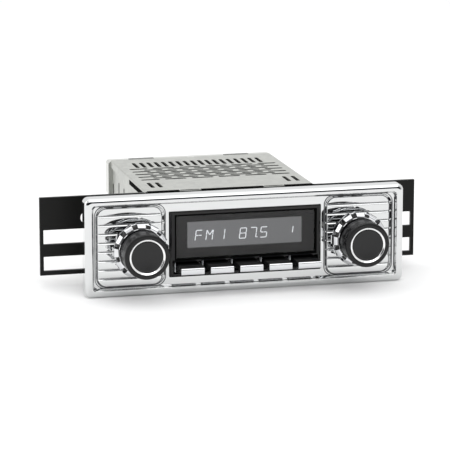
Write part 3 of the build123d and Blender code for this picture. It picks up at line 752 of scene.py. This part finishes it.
def turned(name, section, centre, material, body, replaced, turn=None):
    """Sweeps (radius, y, dip) steps round the shaft. A dip deepens the gaps between
    teeth, and a tooth is flat on top, so each one mirrors a single part of the room."""
    rings = []
    flat = math.cos(HALF_TOOTH) if turn else 1.0
    for step in section:
        dip = step[2] if len(step) > 2 else 0.0
        ring = []
        for angle, gap in turn or round_turn():
            radius = step[0] - dip * gap
            if dip and not gap:
                from_middle = (angle * TEETH / (2 * math.pi) + 0.5) % 1.0 - 0.5
                radius *= flat / math.cos(from_middle * 2 * math.pi / TEETH)
            x, z = radius * math.cos(angle), radius * math.sin(angle)
            ring.append((centre[0] + x, step[1], centre[1] + z))
        rings.append(ring)
    points, faces = joined_rings(rings, loop=True)
    return piece(name, points, faces, material, body, replaced)


def make_control(side_name):
    body = f"{side_name}_turn"
    low, high = mm_box(f"{side_name}_knob")
    centre = ((low[0] + high[0]) / 2, (low[2] + high[2]) / 2)
    rear, front, radius = high[1], low[1], (high[0] - low[0]) / 2
    knob_section = [
        (3.1, rear), (radius - 1.3, rear), (radius - 0.7, rear - 0.25), (radius - 0.35, rear - 0.8),
        (radius - 0.3, rear - 1.4), (radius - 0.3, rear - 2.6), (radius - 0.5, rear - 2.8),
        (radius - 0.5, rear - 3.1), (radius - 0.3, rear - 3.3), (radius - 0.3, rear - 7.6),
        (radius - 0.45, rear - 7.8), (radius - 0.45, rear - 8.1), (radius - 0.15, rear - 8.4),
        (radius, rear - 9.0), (radius, front + 0.9), (radius - 0.1, front + 0.5),
        (radius - 0.35, front + 0.15), (radius - 0.8, front), (radius - 1.5, front - 0.05),
        (9.95, front + 0.05), (9.82, front + 0.25), (9.8, front + 1.2), (3.1, front + 1.25),
    ]
    knob = turned(
        f"{side_name}_knob_body", knob_section, centre, knob_abs, body,
        [f"{side_name}_knob"],
    )
    ring_section = [
        (9.85, front + 1.1), (9.85, front), (9.78, front - 0.14), (9.6, front - 0.2),
        (8.85, front + 0.2), (8.7, front + 0.4), (8.68, front + 1.1),
    ]
    ring = turned(
        f"{side_name}_bright_ring", ring_section, centre, turned_aluminium, body,
        [f"{side_name}_knob_ring"],
    )
    disc_section = [
        (0.001, front + 1.2), (8.64, front + 1.2), (8.64, front + 0.56), (8.4, front + 0.48),
        (7.6, front + 0.55), (5.0, front + 0.82), (2.5, front + 0.94), (0.001, front + 0.98),
    ]
    disc = turned(
        f"{side_name}_dished_disc", disc_section, centre, disc_abs, body,
        [f"{side_name}_knob_disc"],
    )
    low, high = mm_box(f"{side_name}_ring_knob")
    rear, front, radius = high[1], low[1], (high[0] - low[0]) / 2
    castle_section = [
        (4.1, rear), (radius - 1.9, rear), (radius - 1.3, rear - 0.3), (radius - 1.1, rear - 0.8),
        (radius - 1.1, rear - 1.4), (radius - 0.2, rear - 1.5, 0.9), (radius, rear - 1.8, 1.7),
        (radius, front + 1.9, 1.7), (radius - 0.3, front + 1.5, 1.6),
        (radius - 1.5, front + 0.1, 1.1), (radius - 1.9, front, 0.8), (radius - 2.9, front),
        (radius - 3.1, front + 0.3), (4.1, front + 0.3),
    ]
    castle = turned(
        f"{side_name}_castellated_ring", castle_section, centre, ring_chrome, f"{side_name}_ring",
        [f"{side_name}_ring_knob"], toothed_turn(),
    )
    core_section = [
        (radius - 3.0, rear - 1.5), (radius - 1.35, rear - 1.5), (radius - 1.35, front + 1.3),
        (radius - 2.3, front + 0.35), (radius - 3.0, front + 0.35),
    ]
    core = turned(
        f"{side_name}_ring_core", core_section, centre, gloss_abs, f"{side_name}_ring",
        [],
    )
    return knob, ring, disc, castle, core


controls = [make_control(side_name) for side_name in ("left", "right")]
print("controls:", [[len(part.data.polygons) for part in control] for control in controls])

# %% [markdown]
# ## Push keys
#
# Each key is a black ABS bar with a stepped top and a chromed cap pressed on its
# front. The top has two shallow grooves along X, which read as fine lines from above.
# The section is drawn once in Y and Z, pushed along X, and bevelled.

# %% Push keys

KEY_REAR = -1.5
BAR_LIP_BACK, CAP_LIP_BACK = -8.4, -8.6
BAR_LIP, CAP_LIP = 0.27, 0.25
KEY_GROOVES = (2.6, 5.6)
KEY_GROOVE_DEPTH = 0.3


def pushed(section, x_low, x_high):
    """Points and faces of a closed (y, z) section pushed along X."""
    rings = [[(x, y, z) for y, z in section] for x in (x_low, x_high)]
    return joined_rings(rings, close_ends=True)


def make_key(number):
    face_low, face_high = mm_box(f"key_{number}_face")
    bottom, top = face_low[2], face_high[2]
    front, floor_z = face_high[1], top - KEY_GROOVE_DEPTH
    section = [(front, bottom + BAR_LIP), (front, top - 0.25), (front + 0.25, top)]
    for groove in (front + start for start in KEY_GROOVES):
        section += [(groove, top), (groove + 0.25, floor_z)]
        section += [(groove + 0.7, floor_z), (groove + 0.95, top)]
    section += [(KEY_REAR, top), (KEY_REAR, bottom)]
    section += [(BAR_LIP_BACK, bottom), (BAR_LIP_BACK, bottom + BAR_LIP)]
    points, faces = pushed(section, face_low[0] + 0.12, face_high[0] - 0.12)
    bar = piece(
        f"key_{number}_bar", points, faces, textured_abs, f"key_{number}",
        [f"key_{number}_body"],
    )
    round_edges(bar, 0.2)
    cap_section = [
        (face_high[1], top), (face_low[1] + 0.35, top),
        (face_low[1] + 0.08, top - 0.3), (face_low[1], top - 0.7), (face_low[1], bottom + 0.7),
        (face_low[1] + 0.08, bottom + 0.3), (face_low[1] + 0.35, bottom), (face_high[1], bottom),
        (CAP_LIP_BACK, bottom), (CAP_LIP_BACK, bottom + CAP_LIP), (face_high[1], bottom + CAP_LIP),
    ]
    points, faces = pushed(cap_section, face_low[0], face_high[0])
    cap = piece(
        f"key_{number}_cap", points, faces, key_chrome, f"key_{number}",
        [f"key_{number}_face"],
    )
    round_edges(cap, 0.15)
    return bar, cap


keys = [make_key(number) for number in range(1, 6)]
print("keys:", len(keys), "pairs")

# %% [markdown]
# ## Pale lines between the keys
#
# Short pale lines show between the keys and at the left end of their row, where edges
# catch the light. Their cause isn't known: it may be light guides, or bright reflections
# at the keys' edges. They are painted highlights, made as thin ribs of milky acrylic,
# because a solid rib stays put from every side.

# %% Pale lines between the keys

HIGHLIGHT_WIDTH = 0.24
HIGHLIGHT_PROUD = 1.25
HIGHLIGHT_BACK = -3.4
END_HIGHLIGHT = (-15.6, -10.6)
KEY_HIGHLIGHT = (-12.4, -9.9)


# Pale ribs of painted highlight at the keys' edges.
def make_edge_highlights():
    points, faces = [], []
    lens_low, _ = mm_box("display_lens")
    front = lens_low[1] - HIGHLIGHT_PROUD
    spots = [(lens_low[0] - 0.4, *END_HIGHLIGHT)]
    for number in range(1, 5):
        near, far = mm_box(f"key_{number}_face"), mm_box(f"key_{number + 1}_face")
        spots.append(((near[1][0] + far[0][0]) / 2 - 0.1, *KEY_HIGHLIGHT))
    for x, bottom, top in spots:
        corners = ((front, bottom), (HIGHLIGHT_BACK, bottom), (HIGHLIGHT_BACK, top), (front, top))
        new_points, new_faces = pushed(corners, x - HIGHLIGHT_WIDTH / 2, x + HIGHLIGHT_WIDTH / 2)
        faces += [tuple(len(points) + i for i in face) for face in new_faces]
        points += new_points
    return piece("key_edge_highlights", points, faces, milky_acrylic_and_highlight, "body")


edge_highlights = make_edge_highlights()
print("light guides:", len(edge_highlights.data.polygons), "faces")

# %% [markdown]
# ## Display characters
#
# The display shows a waveband and a frequency in thin slanted strokes. A text object
# would need a font, so each character is a few bars of a fourteen-segment cell: named
# strokes between points of a small grid, with a slant of about eight degrees.

# %% Display characters

CELL_WIDTH = 3.5
CELL_HEIGHT = 5.7
BASELINE = 0.55
STROKE = 0.5
STROKE_GAP = 0.14
SLANT = 0.13
STROKES = {
    "top": ((0, 1), (1, 1)), "bottom": ((0, 0), (1, 0)),
    "upper_left": ((0, 0.5), (0, 1)), "lower_left": ((0, 0), (0, 0.5)),
    "upper_right": ((1, 0.5), (1, 1)), "lower_right": ((1, 0), (1, 0.5)),
    "middle_left": ((0, 0.5), (0.5, 0.5)), "middle_right": ((0.5, 0.5), (1, 0.5)),
    "fall": ((0, 1), (0.5, 0.5)), "rise": ((0.5, 0.5), (1, 1)),
    "upper_stem": ((0.5, 0.5), (0.5, 1)), "lower_stem": ((0.5, 0), (0.5, 0.5)),
    "dot": ((1.08, 0.06), (1.32, 0.06)), "small_stem": ((0.5, 0.28), (0.5, 0.95)),
}
CHARACTERS = {
    "F": ("top", "upper_left", "lower_left", "middle_left", "middle_right"),
    "M": ("upper_left", "lower_left", "upper_right", "lower_right", "fall", "rise"),
    "1": ("upper_stem", "lower_stem"),
    "small 1": ("small_stem",),
    "8": ("top", "bottom", "upper_left", "lower_left", "upper_right", "lower_right",
          "middle_left", "middle_right"),
    "7": ("top", "upper_right", "lower_right"),
    "7.": ("top", "upper_right", "lower_right", "dot"),
    "5": ("top", "upper_left", "middle_left", "middle_right", "lower_right", "bottom"),
}
READING = (
    ("F", -25.7), ("M", -19.6), ("1", -11.2), ("8", -0.7), ("7.", 5.1), ("5", 11.1),
    ("small 1", 27.6),
)


def stroke_bar(start, end, thickness, y_front, y_back):
    """Eight corners and six faces of one thin bar with short gaps at its ends."""
    along = (end[0] - start[0], end[1] - start[1])
    length = math.hypot(*along)
    unit = (along[0] / length, along[1] / length)
    gap = min(STROKE_GAP, length * 0.2)
    a = (start[0] + unit[0] * gap, start[1] + unit[1] * gap)
    b = (end[0] - unit[0] * gap, end[1] - unit[1] * gap)
    off = (-unit[1] * thickness / 2, unit[0] * thickness / 2)
    corners = [(a[0] + off[0], a[1] + off[1]), (b[0] + off[0], b[1] + off[1]),
               (b[0] - off[0], b[1] - off[1]), (a[0] - off[0], a[1] - off[1])]
    rings = [[(x, y, z) for x, z in corners] for y in (y_front, y_back)]
    return joined_rings(rings, close_ends=True)


def make_reading():
    low, _ = mm_box("lcd_glass")
    points, faces = [], []
    for character, place in READING:
        left = place - (CELL_WIDTH + SLANT * CELL_HEIGHT) / 2
        for stroke_name in CHARACTERS[character]:
            ends = []
            for u, v in STROKES[stroke_name]:
                z = BASELINE + v * CELL_HEIGHT
                ends.append((left + u * CELL_WIDTH + SLANT * v * CELL_HEIGHT, z))
            new_points, new_faces = stroke_bar(*ends, STROKE, low[1] - 0.15, low[1] - 0.05)
            offset = len(points)
            points += new_points
            faces += [tuple(offset + i for i in face) for face in new_faces]
    return piece("display_reading", points, faces, segment_light, "body")


reading = make_reading()
print("reading:", len(reading.data.polygons), "faces")

# %% [markdown]
# ## Strips of painted shade behind the slots
#
# Some of the case's slots look black and others grey. What lies behind them isn't
# known. Thin black strips close behind the dark ones are painted shade: they give
# that tone from every side, and a strip is no more than a flat section pushed along X.
# The first two lie under the roof's rear row and front pairs.

# %% Strips under the roof

UNDER_ROOF = 1.9
SHADE_STRIP_THICKNESS = 0.3
REAR_SLOTS = (96.5, 114.0)
FRONT_SLOTS = (37.5, 55.5)


def make_strip(name, low, high, material):
    """A thin straight strip between two corners, in millimetres."""
    corners = ((low[1], low[2]), (high[1], low[2]), (high[1], high[2]), (low[1], high[2]))
    points, faces = pushed(corners, low[0], high[0])
    return piece(name, points, faces, material, "body")


_, case_high = mm_box("top_cover")
shade_strip_top = case_high[2] - UNDER_ROOF
# Black strips of painted shade under the roof's rear row and front pairs.
for name, reach, (near, far) in (("rear_shade_strip", 44, REAR_SLOTS), ("front_shade_strip", 46, FRONT_SLOTS)):
    low, high = (-reach, near, shade_strip_top - SHADE_STRIP_THICKNESS), (reach, far, shade_strip_top)
    shade_strip = make_strip(name, low, high, painted_shade_black)
    print(shade_strip.name, "is", far - near, "mm deep")

# %% [markdown]
# ## Painted shade along the roof's edges
#
# Two stretches of the roof's back edge look darker than the sheet, as folded tabs
# would, and three stretches of its front edge look black, as a foam seal would. The
# tabs are a guess; their darker tone is painted shade, and the black front stretches
# are painted shade in the gap there. Both readings are guesses. Each stretch is a
# strip that stands no more than a tenth of a millimetre proud of the roof, so it
# changes the tone and hardly the outline.

# %% Painted shade along the roof's edges

TAB_SPANS = ((-37.1, -22.4), (20.6, 35.3))
TAB_DEPTH = 3.4
ROOF_SHADE_SPANS = ((-47.6, -29.3), (-16.7, 19.0), (31.4, 47.6))
ROOF_SHADE_DEPTH = 2.6

# A darker steel tone: painted shade on the tabs.
tab_shade = lined_metal("folded_tab_shade", "#7f807d", 0.4, EVEN_GRAIN, 0.1)
tab_front, roof_top = mm_box("heat_sink")[0][1] - 0.1, case_high[2]
for number, (left, right) in enumerate(TAB_SPANS, 1):
    low, high = (left, tab_front, roof_top - 0.9), (right, tab_front + TAB_DEPTH, roof_top + 0.1)
    make_strip(f"rear_tab_{number}", low, high, tab_shade)

case_front = mm_box("front_panel")[0][1]
# Black strips of painted shade along the roof's front edge.
for number, (left, right) in enumerate(ROOF_SHADE_SPANS, 1):
    low = (left, case_front, roof_top - 0.1)
    high = (right, case_front + ROOF_SHADE_DEPTH, roof_top + 0.06)
    make_strip(f"roof_edge_shade_{number}", low, high, painted_shade_black)
print("tab caps:", len(TAB_SPANS), "roof seals:", len(ROOF_SHADE_SPANS))

# %% [markdown]
# ## Strips in the side walls
#
# The slots in the side walls and the long slot above each bracket's arm look black too,
# and strips of painted shade darken them. The slots in the side walls and the long slot
# above each bracket's arm look black too, and again the cause is a guess. A strip is
# given by how deep its two faces lie inside the wall, and the same numbers serve both
# sides of the case.

# %% Strips in the side walls

SIDE_STRIPS = (
    ("side_shade_strip", (2.1, 2.3), (82.0, -17.0), (124.0, 14.0)),
    ("arm_slot_shade", (-0.1, 0.3), (31.6, 18.6), (71.7, 21.2)),
)

# Strips of painted shade inside each side wall and above each arm.
for kind, depths, (front, bottom), (back, top) in SIDE_STRIPS:
    for side_name, sign in (("left", -1), ("right", 1)):
        near, far = sorted(sign * (case_high[0] - depth) for depth in depths)
        low, high = (near, front, bottom), (far, back, top)
        make_strip(f"{side_name}_{kind}", low, high, painted_shade_black)
print("side strips:", 2 * len(SIDE_STRIPS))

# %% [markdown]
# ## Painted shade round the display lens
#
# A black line runs round the display lens, in the narrow gap between it and its
# housing. It is painted shade in that gap, drawn as one closed black frame. It is
# taken as a foam seal, which is a guess, and drawn as one closed frame.

# %% Painted shade round the display lens

SHADE_INSIDE, SHADE_OUTSIDE = -0.3, 0.58
SHADE_PROUD = 0.8


# A black frame of painted shade in the gap round the lens.
def make_lens_gap_shade():
    low, high = mm_box("display_lens")
    front, back = low[1] - SHADE_PROUD, high[1]
    section = (
        (SHADE_INSIDE, back), (SHADE_INSIDE, front), (SHADE_OUTSIDE, front), (SHADE_OUTSIDE, back)
    )
    rings = []
    for grow, y in section:
        half_width, half_height = high[0] + grow, (high[2] - low[2]) / 2 + grow
        rings.append(rounded_outline(half_width, half_height, 0.4, y, (high[2] + low[2]) / 2))
    points, faces = joined_rings(rings, loop=True)
    return piece("lens_gap_shade", points, faces, painted_shade_black, "body")


lens_gap_shade = make_lens_gap_shade()
print("lens seal:", len(lens_gap_shade.data.polygons), "faces")

# %% [markdown]
# ## Floor and light
#
# Chrome is lit by what it mirrors. A white room would leave it flat, so the world is
# white overhead and behind, with a darker band low in front, where a studio has its
# unlit side. That band draws the fine dark lines along the rolled rims. A broad
# overhead panel makes the soft shadow under the bezel. Weaker panels in front and on
# the left keep that shadow, and the side of the case, from going too dark.

# %% Floor


def pale_paper():
    material, tree, shader, where = begin("pale_paper", Roughness=0.9)
    fibres = add(tree, "TexNoise", {"Scale": 40.0, "Detail": 4.0}, {"Vector": where})
    tone = add(tree, "ValToRGB", {}, {"Fac": fibres.outputs["Fac"]})
    tone.color_ramp.elements[0].color = linear("#f4f4f4")
    tone.color_ramp.elements[1].color = linear("#f8f8f8")
    tree.links.new(tone.outputs["Color"], shader.inputs["Base Color"])
    return material


def make_floor():
    low, _ = mm_box("bezel")
    reach = 8.0 / MM
    corners = [(-reach, -reach, low[2]), (reach, -reach, low[2]), (reach, reach, low[2]),
               (-reach, reach, low[2])]
    mesh = bpy.data.meshes.new("floor")
    mesh.from_pydata([tuple(MM * v for v in corner) for corner in corners], [], [(0, 1, 2, 3)])
    mesh.materials.append(pale_paper())
    floor = bpy.data.objects.new("floor", mesh)
    bpy.context.scene.collection.objects.link(floor)
    return floor


floor = make_floor()
print("floor at", round(floor.data.vertices[0].co.z, 4), "m")

# %% World

LOW_EDGE = {"From Min": -0.01, "From Max": 0.03}
HIGH_EDGE = {"From Min": 0.36, "From Max": 0.46, "To Min": 1.0, "To Max": 0.0}
FRONT_EDGE = {"From Min": -0.45, "From Max": -0.75}
WHITE_ROOM = (0.96, 0.962, 0.965, 1.0)
DARK_BAND = (0.02, 0.02, 0.025, 1.0)


def studio_world():
    world = bpy.data.worlds.new("studio")
    bpy.context.scene.world = world
    world.use_nodes = True
    tree = world.node_tree
    background = tree.nodes["Background"]
    direction = add(tree, "TexCoord").outputs["Generated"]
    split = add(tree, "SeparateXYZ", {}, {"Vector": direction})
    low_edge = add(tree, "MapRange", LOW_EDGE, {"Value": split.outputs["Z"]})
    high_edge = add(tree, "MapRange", HIGH_EDGE, {"Value": split.outputs["Z"]})
    front = add(tree, "MapRange", FRONT_EDGE, {"Value": split.outputs["Y"]})
    between = {0: low_edge.outputs["Result"], 1: high_edge.outputs["Result"]}
    band = add(tree, "Math", {"operation": "MULTIPLY"}, between)
    in_front = {0: band.outputs["Value"], 1: front.outputs["Result"]}
    dark_side = add(tree, "Math", {"operation": "MULTIPLY"}, in_front)
    tone = add(tree, "ValToRGB", {}, {"Fac": dark_side.outputs["Value"]})
    tone.color_ramp.elements[0].color = WHITE_ROOM
    tone.color_ramp.elements[1].color = DARK_BAND
    tree.links.new(tone.outputs["Color"], background.inputs["Color"])
    background.inputs["Strength"].default_value = 1.0
    return world


world = studio_world()
print("world:", world.name)

# %% Lamps


def soft_panel(name, place, target, size, watts):
    light = bpy.data.lights.new(name, "AREA")
    light.shape = "RECTANGLE"
    light.size, light.size_y = size
    light.energy = watts
    lamp = bpy.data.objects.new(name, light)
    bpy.context.scene.collection.objects.link(lamp)
    lamp.location = place
    aim = [target[axis] - place[axis] for axis in range(3)]
    lamp.rotation_euler = Vector(aim).to_track_quat("-Z", "Y").to_euler()
    return lamp


overhead = soft_panel(
    "overhead_panel", place=(0.1, 0.1, 1.3), target=(0.0, 0.0, 0.0), size=(2.4, 1.8), watts=7.5
)
from_front = soft_panel(
    "front_panel_light", place=(0.15, -1.2, 1.1), target=(0.0, -0.1, 0.0), size=(1.4, 0.7), watts=5.0
)
from_left = soft_panel(
    "left_panel", place=(-1.1, -0.1, 0.5), target=(0.0, 0.05, 0.0), size=(0.9, 0.9), watts=3.0
)
bpy.context.scene.view_settings.view_transform = "Standard"
print("lamps:", overhead.name, from_front.name, from_left.name)

# %% [markdown]
# ## Camera
#
# A long lens from a distance keeps the bezel's edges nearly parallel. The camera looks
# from 14 degrees left of straight ahead and 12 degrees above.

# %% Camera

AZIMUTH = math.radians(-14.0)
ELEVATION = math.radians(12.22)
CAMERA_PLACE = (-0.36118, -1.40767, 0.32203)
SENSOR_MM, LENS_MM = 36.0, 216.0


def make_camera():
    camera = bpy.data.cameras.new("camera")
    camera.sensor_width = SENSOR_MM
    camera.lens = LENS_MM
    camera.clip_end = 100.0
    holder = bpy.data.objects.new("camera", camera)
    bpy.context.scene.collection.objects.link(holder)
    holder.location = CAMERA_PLACE
    holder.rotation_euler = (math.pi / 2 - ELEVATION, 0.0, AZIMUTH)
    bpy.context.scene.camera = holder
    return holder


camera = make_camera()
print("camera at", [round(v, 3) for v in camera.location])
